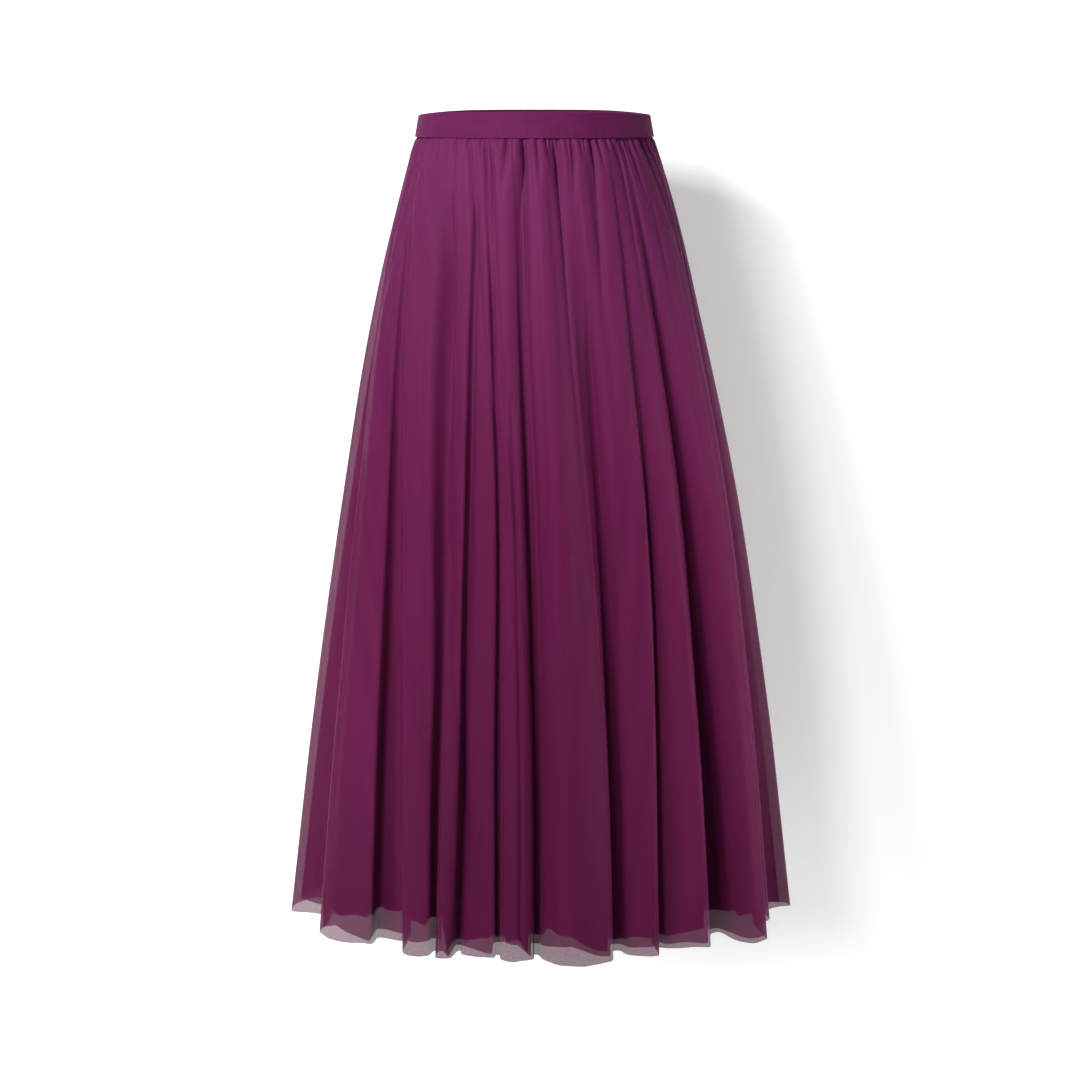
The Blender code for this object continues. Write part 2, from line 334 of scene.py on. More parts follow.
def linear(hex_colour: str) -> tuple[float, float, float]:
    """Turn an sRGB hex colour into linear red, green and blue.

    Args:
        hex_colour: The colour as "#rrggbb".

    Returns:
        The three linear values, each from 0 to 1.
    """
    values = []
    for start in (1, 3, 5):
        value = int(hex_colour[start:start + 2], 16) / 255.0
        values.append(value / 12.92 if value <= 0.04045 else ((value + 0.055) / 1.055) ** 2.4)
    return tuple(values)


def add_node(
    tree: bpy.types.NodeTree,
    kind: str,
    values: dict | None = None,
    links: dict | None = None,
    **settings: object,
) -> bpy.types.Node:
    """Add one node with its settings, its inputs' values and its incoming links.

    Args:
        tree: The node tree to add to.
        kind: The node's type name.
        values: Constant values by input name or number.
        links: Output sockets by the name or number of the input that they feed.
        settings: The node's own properties.

    Returns:
        The new node.
    """
    node = tree.nodes.new(kind)
    for name, value in settings.items():
        setattr(node, name, value)
    for key, value in (values or {}).items():
        node.inputs[key].default_value = value
    for key, socket in (links or {}).items():
        tree.links.new(socket, node.inputs[key])
    return node


def new_material(name: str) -> tuple[bpy.types.Material, bpy.types.NodeTree]:
    """Make an empty node material.

    Args:
        name: The material's name.

    Returns:
        The material and its node tree.
    """
    material = bpy.data.materials.new(name)
    material.use_nodes = True
    material.node_tree.nodes.clear()
    return material, material.node_tree


def cloth_position(
    tree: bpy.types.NodeTree, across_mm: float, down_mm: float
) -> bpy.types.NodeSocket:
    """Give the place on the cloth, counted in repeats of the given size.

    Args:
        tree: The material's node tree.
        across_mm: Size of one repeat across the cloth.
        down_mm: Size of one repeat down the cloth.

    Returns:
        The vector socket to feed to a pattern.
    """
    place = add_node(tree, "ShaderNodeUVMap", uv_map=CLOTH_UV)
    scale = (1.0 / (across_mm * MM), 1.0 / (down_mm * MM), 1.0)
    scaled = add_node(
        tree, "ShaderNodeVectorMath", values={1: scale}, links={0: place.outputs["UV"]},
        operation="MULTIPLY",
    )
    return scaled.outputs["Vector"]


def relief(
    tree: bpy.types.NodeTree, height: bpy.types.NodeSocket, strength: float, depth_mm: float
) -> bpy.types.NodeSocket:
    """Raise a cloth's weave or knit.

    Args:
        tree: The material's node tree.
        height: The pattern's socket.
        strength: How clearly it shows, from 0 to 1.
        depth_mm: How deep it is.

    Returns:
        The socket to feed to the shader's normal.
    """
    raised = add_node(
        tree, "ShaderNodeBump", values={"Strength": strength, "Distance": depth_mm * MM},
        links={"Height": height},
    )
    return raised.outputs["Normal"]


@dataclass(frozen=True)
class ClothFinish:
    """What the skirt's three cloths share: two shades of dye, and how they take the light.

    Dye_patch_mm is how wide and how long a patch of one shade is.
    """

    name: str
    pale: str
    deep: str
    dye_patch_mm: tuple[float, float]
    roughness: float
    specular: float
    sheen: float
    sheen_roughness: float
    sheen_tint: str = "#d078b0"   # the pale plum of dyed fibre ends against the light

    def dye(self, tree: bpy.types.NodeTree) -> bpy.types.NodeSocket:
        """Give a colour that drifts softly between the two shades over the cloth.

        Args:
            tree: The material's node tree.

        Returns:
            The colour's socket.
        """
        drift = add_node(
            tree, "ShaderNodeTexNoise", values={"Scale": 1.0, "Detail": 3.0, "Roughness": 0.55},
            links={"Vector": cloth_position(tree, *self.dye_patch_mm)},
        )
        spread = add_node(
            tree, "ShaderNodeMapRange", values={"From Min": 0.3, "From Max": 0.7},
            links={"Value": drift.outputs[0]},
        )
        mixed = add_node(
            tree, "ShaderNodeMix", data_type="RGBA",
            values={6: (*linear(self.deep), 1.0), 7: (*linear(self.pale), 1.0)},
            links={0: spread.outputs["Result"]},
        )
        return mixed.outputs[2]

    def surface(self, tree: bpy.types.NodeTree, links: dict) -> None:
        """Add the cloth's shader and the material's output.

        Args:
            tree: The material's node tree.
            links: Output sockets by the name of the shader's input that they feed.
        """
        shader = add_node(
            tree, "ShaderNodeBsdfPrincipled", links=links,
            values={
                "Roughness": self.roughness, "Specular IOR Level": self.specular,
                "Sheen Weight": self.sheen, "Sheen Roughness": self.sheen_roughness,
                "Sheen Tint": (*linear(self.sheen_tint), 1.0),
            },
        )
        add_node(tree, "ShaderNodeOutputMaterial", links={"Surface": shader.outputs[0]})


@dataclass(frozen=True)
class SoftTulle(ClothFinish):
    """Soft nylon tulle: a fine six-sided net, piece dyed plum, with a raw edge.

    One layer lets about a fifth of the light through, and the filaments catch the
    light at a slant, which gives the net its sheen.
    """

    pale: str = "#521339"
    deep: str = "#4a1134"
    dye_patch_mm: tuple[float, float] = (14.0, 420.0)
    roughness: float = 0.55
    specular: float = 0.03
    sheen: float = 0.11
    sheen_roughness: float = 0.35
    sheen_tint: str = "#d070ac"
    painted_sheen: str = "#572149"        # painted sheen: a paler shade mixed in towards the waist, where the light from above falls brightest
    painted_sheen_share: float = 0.5      # how much of that painted sheen shows at the waist
    painted_sheen_reach_mm: float = 420.0     # and how far down the cloth it runs out
    hole_mm: float = 1.3          # real soft tulle has holes of about 1 mm
    thread_cover: float = 0.82
    hole_cover: float = 0.76
    mottle: float = 0.02          # the mesh is pulled denser and looser in small patches
    mottle_mm: float = 2.6

    def net_pattern(self, tree: bpy.types.NodeTree) -> bpy.types.NodeSocket:
        """Give the net's pattern: high in the middle of a hole, low along its threads.

        Three waves of one length, turned a third of a circle from each other, add
        up to six-sided cells. The cells are drawn larger than real ones, the finest
        that still shows as net at the size the skirt is seen.

        Args:
            tree: The material's node tree.

        Returns:
            The pattern's socket, from -1.5 to 3.
        """
        place = add_node(tree, "ShaderNodeUVMap", uv_map=CLOTH_UV)
        turns = 2.0 * math.pi / (self.hole_mm * MM)
        waves = []
        for third in range(3):
            angle = math.radians(120.0 * third + 90.0)
            along = add_node(
                tree, "ShaderNodeVectorMath",
                values={1: (turns * math.cos(angle), turns * math.sin(angle), 0.0)},
                links={0: place.outputs["UV"]}, operation="DOT_PRODUCT",
            )
            wave = add_node(
                tree, "ShaderNodeMath", links={0: along.outputs["Value"]}, operation="COSINE"
            )
            waves.append(wave.outputs[0])
        total = waves[0]
        for wave in waves[1:]:
            added = add_node(tree, "ShaderNodeMath", links={0: total, 1: wave}, operation="ADD")
            total = added.outputs[0]
        return total

    def with_painted_sheen(self, tree: bpy.types.NodeTree, dye: bpy.types.NodeSocket) -> bpy.types.NodeSocket:
        """Paint the dye paler towards the waist: painted sheen where the light from above falls
        brightest.

        Args:
            tree: The material's node tree.
            dye: The net's own colour.

        Returns:
            The colour's socket.
        """
        place = add_node(tree, "ShaderNodeUVMap", uv_map=CLOTH_UV)
        parts = add_node(tree, "ShaderNodeSeparateXYZ", links={0: place.outputs["UV"]})
        share = add_node(
            tree, "ShaderNodeMapRange", interpolation_type="SMOOTHSTEP",
            values={
                "From Min": -self.painted_sheen_reach_mm * MM, "From Max": 0.0,
                "To Min": 0.0, "To Max": self.painted_sheen_share,
            },
            links={"Value": parts.outputs["Y"]},
        )
        mixed = add_node(
            tree, "ShaderNodeMix", data_type="RGBA", values={7: (*linear(self.painted_sheen), 1.0)},
            links={0: share.outputs["Result"], 6: dye},
        )
        return mixed.outputs[2]

    def material(self) -> bpy.types.Material:
        """Build the net's material, see-through between its threads.

        Returns:
            The material.
        """
        material, tree = new_material(self.name)
        net = add_node(
            tree, "ShaderNodeMapRange",
            values={
                "From Min": -1.5, "From Max": 3.0,
                "To Min": self.thread_cover, "To Max": self.hole_cover,
            },
            links={"Value": self.net_pattern(tree)},
        )
        pulled = add_node(
            tree, "ShaderNodeTexNoise", values={"Scale": 1.0, "Detail": 1.0},
            links={"Vector": cloth_position(tree, self.mottle_mm, self.mottle_mm)},
        )
        patches = add_node(
            tree, "ShaderNodeMapRange",
            values={
                "From Min": 0.3, "From Max": 0.7, "To Min": -self.mottle, "To Max": self.mottle,
            },
            links={"Value": pulled.outputs[0]},
        )
        cover = add_node(
            tree, "ShaderNodeMath", links={0: net.outputs["Result"], 1: patches.outputs["Result"]},
            operation="ADD", use_clamp=True,
        )
        # the net's dye, with painted sheen mixed in towards the waist where the light from above falls
        colour = self.with_painted_sheen(tree, self.dye(tree))
        self.surface(tree, {"Base Color": colour, "Alpha": cover.outputs[0]})
        return material


@dataclass(frozen=True)
class PolyesterLining(ClothFinish):
    """Plain woven polyester lining: opaque, smooth, with a low soft sheen."""

    name: str = "polyester_lining"
    pale: str = "#491338"
    deep: str = "#410f31"
    dye_patch_mm: tuple[float, float] = (60.0, 200.0)
    roughness: float = 0.5
    specular: float = 0.0
    sheen: float = 0.15
    sheen_roughness: float = 0.5
    thread_mm: float = 0.5        # drawn coarser than the real 0.15 mm yarns
    relief_strength: float = 0.12
    relief_mm: float = 0.05

    def material(self) -> bpy.types.Material:
        """Build the lining's material, a fine plain weave.

        Returns:
            The material.
        """
        material, tree = new_material(self.name)
        place = cloth_position(tree, self.thread_mm, self.thread_mm)
        weave = add_node(
            tree, "ShaderNodeTexChecker", values={"Scale": 1.0}, links={"Vector": place}
        )
        raised = relief(tree, weave.outputs["Fac"], self.relief_strength, self.relief_mm)
        self.surface(tree, {"Base Color": self.dye(tree), "Normal": raised})
        return material


@dataclass(frozen=True)
class KnitOverElastic(ClothFinish):
    """Fine plain knit drawn tight over a wide elastic: matt, with a soft sheen."""

    name: str = "knit_over_elastic"
    pale: str = "#480f38"
    deep: str = "#420c33"
    dye_patch_mm: tuple[float, float] = (18.0, 12.0)
    roughness: float = 0.75
    specular: float = 0.07
    sheen: float = 0.09
    sheen_roughness: float = 0.5
    wale_mm: float = 0.9
    course_mm: float = 0.7
    straight_mm: float = 40.0     # how far a wale or a course runs before it wavers
    relief_strength: float = 0.35
    relief_mm: float = 0.12

    def material(self) -> bpy.types.Material:
        """Build the knit's material, upright wales crossed by finer courses.

        Returns:
            The material.
        """
        material, tree = new_material(self.name)
        wales, courses = (
            add_node(
                tree, "ShaderNodeTexWave", values={"Scale": 1.0, "Distortion": waver},
                links={"Vector": cloth_position(tree, across_mm, down_mm)},
                bands_direction=direction,
            )
            for waver, across_mm, down_mm, direction in (
                (0.4, self.wale_mm * math.pi, self.straight_mm, "X"),
                (0.3, self.straight_mm, self.course_mm * math.pi, "Y"),
            )
        )
        loops = add_node(
            tree, "ShaderNodeMath", links={0: wales.outputs["Fac"], 1: courses.outputs["Fac"]},
            operation="MULTIPLY",
        )
        raised = relief(tree, loops.outputs[0], self.relief_strength, self.relief_mm)
        self.surface(tree, {"Base Color": self.dye(tree), "Normal": raised})
        return material


def grid_object(
    name: str, points: np.ndarray, places: np.ndarray, closed: bool, material: bpy.types.Material
) -> bpy.types.Object:
    """Make a smooth-shaded mesh from a grid of points.

    Args:
        name: The object's name.
        points: Rows by columns by three, in metres.
        places: The cloth map, rows by columns (one more if closed) by two, in metres.
        closed: True if the last column joins the first.
        material: The cloth's finish.

    Returns:
        The new object.
    """
    rows, columns = points.shape[:2]
    spans = columns if closed else columns - 1
    row, column = np.meshgrid(np.arange(rows - 1), np.arange(spans), indexing="ij")
    beside = (column + 1) % columns
    faces = np.stack(
        [row * columns + column, (row + 1) * columns + column,
         (row + 1) * columns + beside, row * columns + beside], axis=-1,
    ).reshape(-1, 4)
    mesh = bpy.data.meshes.new(name)
    mesh.from_pydata(points.reshape(-1, 3).tolist(), [], faces.tolist())
    corner_places = np.stack(
        [places[row, column], places[row + 1, column],
         places[row + 1, column + 1], places[row, column + 1]], axis=-2,
    )
    layer = mesh.uv_layers.new(name=CLOTH_UV)
    layer.uv.foreach_set("vector", corner_places.astype(np.float32).ravel())
    mesh.shade_smooth()
    mesh.materials.append(material)
    made = bpy.data.objects.new(name, mesh)
    bpy.context.collection.objects.link(made)
    return made


def smooth_curve(at: np.ndarray, places: list[float], values: list[float]) -> np.ndarray:
    """Read a smooth curve through points, with no kink where they meet.

    Args:
        at: Where to read it.
        places: The points' places, rising.
        values: Their values.

    Returns:
        The values there.
    """
    x, y = np.array(places), np.array(values)
    slopes = np.gradient(y, x)
    index = np.clip(np.searchsorted(x, at, side="right") - 1, 0, len(x) - 2)
    span = x[index + 1] - x[index]
    t = (at - x[index]) / span
    return (
        y[index] * (1 + 2 * t) * (1 - t) ** 2 + y[index + 1] * t**2 * (3 - 2 * t)
        + slopes[index] * span * t * (1 - t) ** 2 + slopes[index + 1] * span * t**2 * (t - 1)
    )


def eased(share: np.ndarray) -> np.ndarray:
    """Turn an even run from 0 to 1 into one that starts and ends softly."""
    return share**2 * (3 - 2 * share)


def widened(share: np.ndarray) -> np.ndarray:
    """Give a line's width on its way down: just over half at its start, all of it at its end."""
    return 0.55 + 0.45 * share


def fold_growth(share: np.ndarray) -> np.ndarray:
    """Depth of the folds at a share of the length, as a part of that at the hem."""
    return np.maximum(0.0, (share - FOLD_START) / (1.0 - FOLD_START)) ** FOLD_POWER


def unit(vectors: np.ndarray) -> np.ndarray:
    """Scale plan vectors to a length of one."""
    return vectors / np.maximum(np.linalg.norm(vectors, axis=-1, keepdims=True), 1e-9)


def outward(ring: np.ndarray) -> np.ndarray:
    """Give the outward direction at every point of closed plans, rows by points by two."""
    tangent = unit(np.roll(ring, -1, axis=1) - np.roll(ring, 1, axis=1))
    return np.stack([tangent[..., 1], -tangent[..., 0]], axis=-1)


def shorter_way(off: np.ndarray, girth: np.ndarray) -> np.ndarray:
    """Measure distances along closed rings the shorter way round, with their sign."""
    return (off + girth / 2) % girth - girth / 2


def ridge(
    off: np.ndarray, width: np.ndarray, height: np.ndarray, power: float = 2.0
) -> np.ndarray:
    """Give a soft ridge that runs down the cloth, or a trough where its height is negative.

    Args:
        off: How far each point lies from the ridge's line, rows by columns.
        width: Its half width, where about a third of its height is left.
        height: Its height on each row.
        power: 2 gives it a round top and 1 a sharp one.

    Returns:
        The height at every point, rows by columns.
    """
    return height[:, None] * np.exp(-(np.abs(off / width) ** power))


class Corner(Enum):
    """The kinds of corner in a fold's plan, each with how far its rounding reaches (mm)."""

    LEFT_EDGE = 9.0
    CREST = 22.0
    RIGHT_EDGE = 4.5
    FLOOR = 8.0


# A fold's corners in the order in which they follow each other round the plan.
FOLD_CORNERS = (Corner.LEFT_EDGE, Corner.CREST, Corner.RIGHT_EDGE, Corner.FLOOR, Corner.FLOOR)


def corner_of(fold_name: str, kind: Corner) -> int:
    """Give the number, counted round the plan, of a fold's first corner of one kind."""
    fold = [fold.name for fold in FOLDS].index(fold_name)
    return fold * len(FOLD_CORNERS) + FOLD_CORNERS.index(kind)


@dataclass(frozen=True)
class Layer:
    """One layer of cloth: how it lies inside the skirt's form.

    Depth is how far its cloth lies inside the form at the waist, and ease how much
    further in at the hem. Ripple is the height of its small long ripples. Left and
    right ease are how far it hangs clear of the outer net at the skirt's two sides.
    """

    name: str
    slot: str
    depth: float
    ease: float
    length: float
    ripple: float
    seed: int
    left_ease: float = 0.0
    right_ease: float = 0.0
    is_outermost: bool = False
    is_lining: bool = False


@dataclass(frozen=True)
class Puckers:
    """The tiny gathers right under the waistband, drawn by chance between these limits.

    Length is how far down one runs. Depth, before and after are as for a gather.
    They are deeper towards +X, where the cloth is gathered closer.
    """

    seed: int = 21
    round_the_band: float = 358.0     # degrees, so that the last stays clear of the first
    spacing: tuple[float, float] = (2.2, 5.0)     # degrees
    stray: float = 1.0            # degrees
    length: tuple[float, float] = (12.0, 46.0)
    depth: tuple[float, float] = (2.8, 6.4)
    before: tuple[float, float] = (1.9, 4.0)
    after: tuple[float, float] = (1.1, 1.8)

    def row(self, start: float) -> list[Gather]:
        """Give them side by side, all round the band.

        Args:
            start: The angle of the first.

        Returns:
            The puckers as gathers.
        """
        random = np.random.default_rng(self.seed)
        angle, row = start, []
        while angle < start + self.round_the_band:
            strength = 0.7 + 0.3 * math.sin(math.radians(angle))
            row.append(Gather(
                angle, angle + random.normal(0.0, self.stray), random.uniform(*self.length),
                strength * random.uniform(*self.depth), random.uniform(*self.before),
                random.uniform(*self.after),
            ))
            angle += random.uniform(*self.spacing)
        return row


@dataclass(frozen=True)
class Ripples:
    """The small long ripples in the cloth, drawn by chance between these limits.

    Start and length are shares of the skirt's length, and height is a part of the
    layer's own. They are flatter in the upper half, where the cloth is pulled.
    """

    count: int = 150
    start: tuple[float, float] = (0.0, 0.7)
    length: tuple[float, float] = (0.25, 0.7)
    height: tuple[float, float] = (0.5, 1.2)
    width: tuple[float, float] = (4.0, 9.0)
    stray: float = 6.0            # how far one leans sideways on its way down, mm
    full_from: float = 0.5        # the share of the length from which they stand at full height
    flattest: float = 0.1


@dataclass
class SkirtForm:
    """The form that one layer follows, as a dense grid of plan rings."""

    layer: Layer
    puckers: Puckers = Puckers()
    ripple_limits: Ripples = Ripples()
    front_step: float = 0.55      # columns lie no further apart than this at the waist
    back_step: float = 0.9
    hem_step: float = 4.0         # or than this at the hem
    lining_coarseness: float = 1.7    # the lining's steps at the waist are this much longer
    rows: int = 128
    row_crowding: float = 1.34    # over 1, rows crowd towards the waist
    reach_share: float = 0.45     # a rounding takes no more of the way to the next corner
    wander: float = 1.8           # how far a fold's line strays sideways, mm
    wander_waves: tuple[float, float] = (0.8, 1.5)    # how often it does on its way down
    wander_seed: int = 7
    swing: float = 1.1            # how far all lines swing towards +X half way down, degrees
    side_angle: float = 97.0      # where a layer's side ease is widest
    side_spread: float = 13.0
    side_start: float = 70.0      # the drop where side ease starts
    side_run_in: float = 160.0
    gather_power: float = 1.05    # near 1, a gather has a sharp bottom, as pulled cloth has
    gather_opening: float = 100.0     # how soon one that starts below the band is open
    gather_curve: float = 0.75    # below 1, its line leans most near the band
    gather_fade: float = 1.15     # it is gone this far down, where its own end is 1
    gather_widening: float = 60.0     # the drop where it has its full width
    line_smoothing: int = 7       # rows each way over which a gather's line crosses a valley
    crease_run: float = 60.0      # how soon a crease stands up or dies away
    puff: float = 2.0             # how far the cloth stands out just under the band
    puff_rise: float = 2.0
    puff_fall: float = 40.0
    drops: np.ndarray = field(init=False)     # each row's drop
    share: np.ndarray = field(init=False)     # and that as a share of the skirt's length
    wide: np.ndarray = field(init=False)      # half width of the plan's ellipse on each row
    sway: np.ndarray = field(init=False)      # how far that ellipse lies to +X
    kinds: list[Corner] = field(init=False)       # what each corner of the plan is
    corner_column: list[int] = field(init=False)      # the column at each corner's middle
    index: np.ndarray = field(init=False)     # each column's corner,
    along: np.ndarray = field(init=False)     # how far along its stretch it lies, from 0 to 1,
    is_round: np.ndarray = field(init=False)  # and whether that is the rounding or the side
    ring: np.ndarray = field(init=False)      # the plan's points, rows by columns by two
    around: np.ndarray = field(init=False)    # how far round each ring its points lie
    girth: np.ndarray = field(init=False)     # the length of each ring

    def build(self) -> None:
        """Work out the rings, their columns' places, and every fold, gather and ripple."""
        crowded = np.linspace(0.0, 1.0, self.rows) ** self.row_crowding
        self.drops = (SKIRT_LENGTH + TUCKED_UP) * crowded - TUCKED_UP
        self.share = np.maximum(self.drops, 0.0) / SKIRT_LENGTH
        corners = self.moved_in(self.corners())
        self.lay_columns(corners)
        self.ring = self.ring_through(corners)
        self.measure()
        swell = self.creases() + self.ripples() - self.side_ease()
        drawn = self.plain_outward() * self.gathers()[..., None]
        self.ring = self.ring + outward(self.ring) * swell[..., None] + drawn
        self.measure()

    def corners(self) -> np.ndarray:
        """Place the plan's corners, fold after fold, on every row.

        Returns:
            Rows by corners by two, in millimetres.
        """
        share = self.share[:, None]
        growth = fold_growth(share)
        drops = [section.drop for section in SECTIONS]
        self.wide = smooth_curve(self.drops, drops, [s.half_width for s in SECTIONS])
        self.sway = smooth_curve(self.drops, drops, [s.sway for s in SECTIONS])
        wide, sway = self.wide[:, None], self.sway[:, None]
        deep = wide * DEPTH_RATIO
        hem_weight = SECTIONS[-1].half_width * share
        waist_weight = SECTIONS[0].half_width * (1.0 - share)
        random = np.random.default_rng(self.wander_seed)
        placed, self.kinds = [], []
        for index, fold in enumerate(FOLDS):
            after = FOLDS[(index + 1) % len(FOLDS)]
            turn = 360.0 if index + 1 == len(FOLDS) else 0.0
            gap = after.waist_from + turn - fold.waist_to
            tuck, bed = (fold.waist_to + gap * part for part in VALLEY_FLOOR)
            phase, beat = random.uniform(0, 2 * math.pi), random.uniform(*self.wander_waves)
            stray = self.wander * np.sin(2 * math.pi * beat * share + phase)
            stray = np.degrees(stray / wide) * np.sin(math.pi * share)
            stray = stray + self.swing * np.sin(math.pi * share**0.8)
            table = (
                (fold.waist_from, fold.left, fold.left_out),
                ((fold.waist_from + fold.waist_to) / 2.0, fold.crest, fold.crest_out),
                (fold.waist_to, fold.right, fold.right_out),
                (tuck, fold.tuck, fold.floor_out),
                (bed, fold.bed, fold.floor_out),
            )
            for kind, (waist_angle, hem_angle, hem_out) in zip(FOLD_CORNERS, table):
                upright = hem_angle
                if kind is Corner.FLOOR:
                    upright = min(max(hem_angle, fold.right + SLIT), after.left + turn - SLIT)
                lean = (hem_angle - upright) * share**2
                angle = waist_weight * waist_angle + hem_weight * upright
                turned = np.radians(angle / (waist_weight + hem_weight) + lean + stray)
                out = min(hem_out, fold.lining_out) if self.layer.is_lining else hem_out
                sine, cosine = np.sin(turned), np.cos(turned)
                normal = unit(np.stack([sine / wide, -cosine / deep], axis=-1))
                centre = np.stack([sway + wide * sine, -deep * cosine], axis=-1)
                placed.append(centre + normal * (out * growth)[..., None])
                self.kinds.append(kind)
        return np.concatenate(placed, axis=1)

    def moved_in(self, corners: np.ndarray) -> np.ndarray:
        """Move the plan in to this layer's depth, each side parallel to itself.

        The top edge, tucked up inside the waistband, lies a little further in.

        Args:
            corners: The form's corners, rows by corners by two.

        Returns:
            The layer's corners.
        """
        before = unit(corners - np.roll(corners, 1, axis=1))
        after = unit(np.roll(corners, -1, axis=1) - corners)
        middle = before + after
        normal = unit(np.stack([-middle[..., 1], middle[..., 0]], axis=-1))
        side = np.stack([-before[..., 1], before[..., 0]], axis=-1)
        half_turn = np.maximum((normal * side).sum(-1), MITRE_LIMIT)
        tuck_under = np.interp(self.drops, [-TUCKED_UP, 0.0, 2.0], [1.2, 0.5, 0.0])
        depth = self.layer.depth + self.layer.ease * fold_growth(self.share) + tuck_under
        return corners + normal * (depth[:, None] / half_turn)[..., None]

    def lay_columns(self, corners: np.ndarray) -> None:
        """Choose the grid's columns: points along each rounding and each side.

        Each column is a corner's number, how far along it lies, and whether that
        is on the corner's rounding or on the straight side after it.

        Args:
            corners: The layer's corners, rows by corners by two.
        """
        back, ahead, back_share, ahead_share = self.reaches(corners)
        sides = np.linalg.norm(ahead, axis=-1)
        rounded = back_share * np.linalg.norm(back, axis=-1) + ahead_share * sides
        straight = sides * (1.0 - ahead_share - np.roll(back_share, -1, axis=1))
        last_front = corner_of(RIGHT_SEAM_FOLD, Corner.FLOOR) + 1
        index, along, is_round = [], [], []
        self.corner_column = []
        for corner in range(corners.shape[1]):
            step = self.front_step if corner <= last_front else self.back_step
            step *= self.lining_coarseness if self.layer.is_lining else 1.0
            pieces = [
                math.ceil(max(length[0, corner] / step, length[-1, corner] / self.hem_step))
                for length in (rounded, straight)
            ]
            round_pieces, straight_pieces = max(4, pieces[0]), max(1, pieces[1])
            self.corner_column.append(len(index) + round_pieces // 2)
            index += [corner] * (round_pieces + straight_pieces)
            along += [place / round_pieces for place in range(round_pieces + 1)]
            along += [place / straight_pieces for place in range(1, straight_pieces)]
            is_round += [True] * (round_pieces + 1) + [False] * (straight_pieces - 1)
        self.index, self.along, self.is_round = np.array(index), np.array(along), np.array(is_round)

    def reaches(self, corners: np.ndarray) -> tuple[np.ndarray, ...]:
        """Give how far each corner's rounding reaches towards the corners beside it.

        Args:
            corners: The layer's corners, rows by corners by two.

        Returns:
            The way back to the corner before and the way ahead to the one after, then
            the shares of those two ways that the rounding takes.
        """
        reach = np.array([kind.value for kind in self.kinds])
        ways = np.roll(corners, 1, axis=1) - corners, np.roll(corners, -1, axis=1) - corners
        shares = [
            np.minimum(reach / np.maximum(np.linalg.norm(way, axis=-1), 1e-6), self.reach_share)
            for way in ways
        ]
        return *ways, *shares

    def ring_through(self, corners: np.ndarray) -> np.ndarray:
        """Run the plan through its corners, rounding each.

        Args:
            corners: The layer's corners, rows by corners by two.

        Returns:
            Its points, rows by columns by two.
        """
        back, ahead, back_share, ahead_share = self.reaches(corners)
        starts = corners + back * back_share[..., None]
        ends = corners + ahead * ahead_share[..., None]
        t = self.along[:, None]
        at = corners[:, self.index]
        start, end = starts[:, self.index], ends[:, self.index]
        following = np.roll(starts, -1, axis=1)[:, self.index]
        rounding = start * (1 - t) ** 2 + at * 2 * t * (1 - t) + end * t**2
        return np.where(self.is_round[:, None], rounding, end * (1 - t) + following * t)

    def measure(self) -> None:
        """Measure the distance round each ring, from its first column."""
        steps = np.linalg.norm(np.roll(self.ring, -1, axis=1) - self.ring, axis=-1)
        self.around = np.cumsum(steps, axis=1) - steps
        self.girth = steps.sum(axis=1)

    def plain_outward(self) -> np.ndarray:
        """Give the outward direction of the plan's ellipse, folds aside.

        Returns:
            A direction for every point, rows by columns by two.
        """
        wide, sway = self.wide[:, None], self.sway[:, None]
        across = (self.ring[..., 0] - sway) / wide**2
        forward = self.ring[..., 1] / (wide * DEPTH_RATIO) ** 2
        return unit(np.stack([across, forward], axis=-1))

    def side_ease(self) -> np.ndarray:
        """Give how far the layer hangs clear of the outer net at the skirt's two sides.

        Returns:
            A distance for every point, rows by columns.
        """
        hem = self.ring[-1]
        at = np.degrees(np.arctan2(hem[:, 0], -hem[:, 1] / DEPTH_RATIO))
        run_in = eased(np.clip((self.drops - self.side_start) / self.side_run_in, 0.0, 1.0))
        left, right = (
            ease * np.exp(-(((at - angle) / self.side_spread) ** 2))
            for ease, angle in (
                (self.layer.left_ease, -self.side_angle), (self.layer.right_ease, self.side_angle),
            )
        )
        return run_in[:, None] * (left[None, :] + right[None, :] * self.share[:, None])

    def place_at(self, angles: np.ndarray) -> np.ndarray:
        """Find a plan angle on every row.

        Args:
            angles: The angle on each row, in degrees from the centre front.

        Returns:
            Where it is on each row, measured round the ring.
        """
        places = np.empty(self.rows)
        for row, angle in enumerate(angles):
            at = np.degrees(np.arctan2(
                (self.ring[row, :, 0] - self.sway[row]) / self.wide[row],
                -self.ring[row, :, 1] / (self.wide[row] * DEPTH_RATIO),
            ))
            at = np.maximum.accumulate(np.unwrap(at, period=360.0))
            places[row] = np.interp(angle, at, self.around[row])
        spread = self.line_smoothing
        padded = np.pad(places, spread, mode="reflect", reflect_type="odd")
        return np.convolve(padded, np.full(2 * spread + 1, 1.0 / (2 * spread + 1)), mode="valid")

    def trough(self, gather: Gather, opened: np.ndarray, spread: np.ndarray) -> np.ndarray:
        """Lay one gather.

        Args:
            gather: The gather's row of the table.
            opened: How far open it is on each row, from 0 to 1.
            spread: Its width on each row, as a part of its full width.

        Returns:
            Its height at every point, rows by columns.
        """
        start = FOLDS[0].waist_from
        turned = gather.top + (360.0 if gather.top < start else 0.0)
        share = np.clip(self.drops / gather.end_drop, 0.0, 1.2)
        line = turned + (gather.low - gather.top) * share**self.gather_curve
        centre = self.place_at((line - start) % 360.0 + start)
        fade = np.clip(1.0 - self.drops / (self.gather_fade * gather.end_drop), 0.0, 1.0)
        off = shorter_way(self.around - centre[:, None], self.girth[:, None])
        width = np.where(off < 0.0, gather.before, gather.after) * spread[:, None]
        return ridge(off, width, -gather.depth * opened * fade, self.gather_power)

